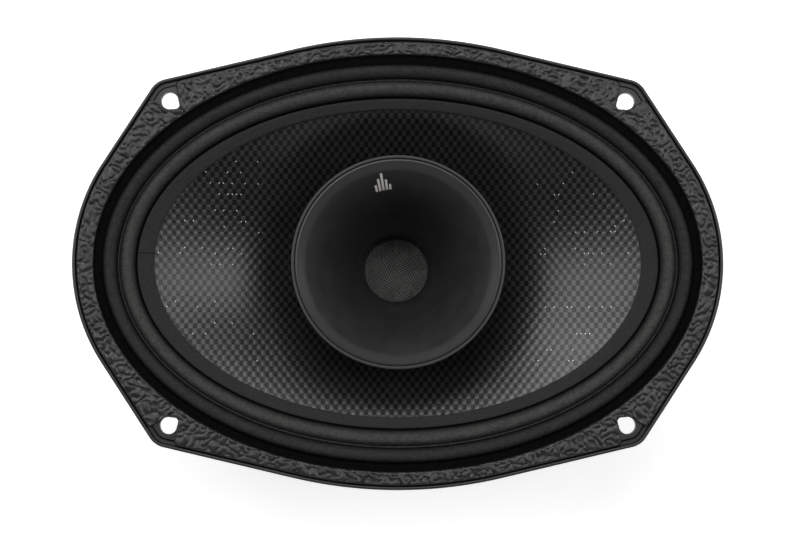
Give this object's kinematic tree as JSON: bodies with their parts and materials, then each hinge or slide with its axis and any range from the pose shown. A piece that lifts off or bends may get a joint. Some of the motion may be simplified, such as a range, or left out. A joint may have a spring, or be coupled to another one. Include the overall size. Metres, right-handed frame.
{
  "type": "coaxial car speaker",
  "caption": "Oval coaxial car speaker: woven cone and double-roll surround in a cast frame, with a round horn through the motor fed by a compression driver at the rear.",
  "frame": {"origin": "on the speaker's axis, at the flat back of the compression driver's cover", "axes": "+Z along the axis towards the listener, +X along the long side of the oval, +Y along the short side, away from the terminals"},
  "size_m": [0.2362, 0.1644, 0.1185],
  "materials": {
    "cast_frame": "satin black coat",
    "gasket_foam": "embossed, satin",
    "surround_cloth": "doped cloth, matte",
    "spider_cloth": "resin-stiffened cloth, matte",
    "steel_black": "black coat, satin",
    "zinc_steel": "zinc plated",
    "ferrite": "ground ceramic magnet, matte",
    "horn_plastic": "moulded, satin",
    "screen_wire": "woven wire, darkened",
    "board_plastic": "moulded, satin",
    "cover_plastic": "moulded, satin",
    "brass_tab": "bright",
    "capacitor_sleeve": "shrink sleeve, gloss",
    "red_plastic": "moulded, gloss",
    "copper_wire": "enamelled copper",
    "former_film": "polyimide film",
    "woven_cone": "woven fibre in resin, gloss",
    "band_felt": "felted paper, matte",
    "titanium_foil": "thin metal foil, bright"
  },
  "bodies": {
    "frame": {"basket": "cast_frame", "front_gasket": "gasket_foam", "surround": "surround_cloth", "spider": "spider_cloth", "woofer_top_plate": "steel_black", "woofer_magnet": "ferrite", "woofer_yoke": "steel_black", "horn": "horn_plastic", "horn_rim_ring": "horn_plastic", "throat_screen": "screen_wire", "hf_gasket": "board_plastic", "hf_front_plate": "steel_black", "hf_magnet": "ferrite", "hf_top_plate": "zinc_steel", "hf_phase_plug": "board_plastic", "hf_surround": "surround_cloth", "hf_clamp_ring": "board_plastic", "hf_rear_cover": "cover_plastic", "hf_cover_screw_1": "steel_black", "hf_cover_screw_2": "steel_black", "hf_cover_screw_3": "steel_black", "hf_mount_screw_1": "zinc_steel", "hf_mount_screw_2": "zinc_steel", "hf_mount_screw_3": "zinc_steel", "basket_screw_1": "zinc_steel", "basket_screw_2": "zinc_steel", "basket_screw_3": "zinc_steel", "basket_screw_4": "zinc_steel", "terminal_block": "board_plastic", "terminal_lug_positive": "brass_tab", "terminal_lug_negative": "brass_tab", "crossover_capacitor": "capacitor_sleeve", "hf_terminal_board": "board_plastic", "hf_tab_positive": "brass_tab", "hf_tab_negative": "brass_tab", "hf_lead_upper": "red_plastic", "hf_lead_positive": "red_plastic", "hf_lead_negative": "board_plastic", "tinsel_lead_positive": "copper_wire", "tinsel_lead_negative": "copper_wire"},
    "cone": {"cone": "woven_cone", "cone_edge_band": "band_felt", "voice_coil_former": "former_film", "voice_coil_winding": "copper_wire"},
    "hf_diaphragm": {"hf_diaphragm": "titanium_foil", "hf_voice_coil": "copper_wire"},
    "button_positive": {"terminal_button_positive": "red_plastic"},
    "button_negative": {"terminal_button_negative": "board_plastic"}
  },
  "joints": [
    {"name": "cone_travel", "type": "slide", "parent": "frame", "child": "cone", "axis": [0, 0, 1], "range_m": [-0.0045, 0.0045], "stiffness_N_per_m": 3000, "deforming": ["surround", "spider", "tinsel_lead_positive", "tinsel_lead_negative"]},
    {"name": "diaphragm_travel", "type": "slide", "parent": "frame", "child": "hf_diaphragm", "axis": [0, 0, 1], "range_m": [-0.0003, 0.0003], "stiffness_N_per_m": 8000, "deforming": ["hf_surround"]},
    {"name": "button_positive_push", "type": "slide", "parent": "frame", "child": "button_positive", "axis": [0, 1, 0], "range_m": [0, 0.0025], "stiffness_N_per_m": 600},
    {"name": "button_negative_push", "type": "slide", "parent": "frame", "child": "button_negative", "axis": [0, 1, 0], "range_m": [0, 0.0025], "stiffness_N_per_m": 600}
  ]
}
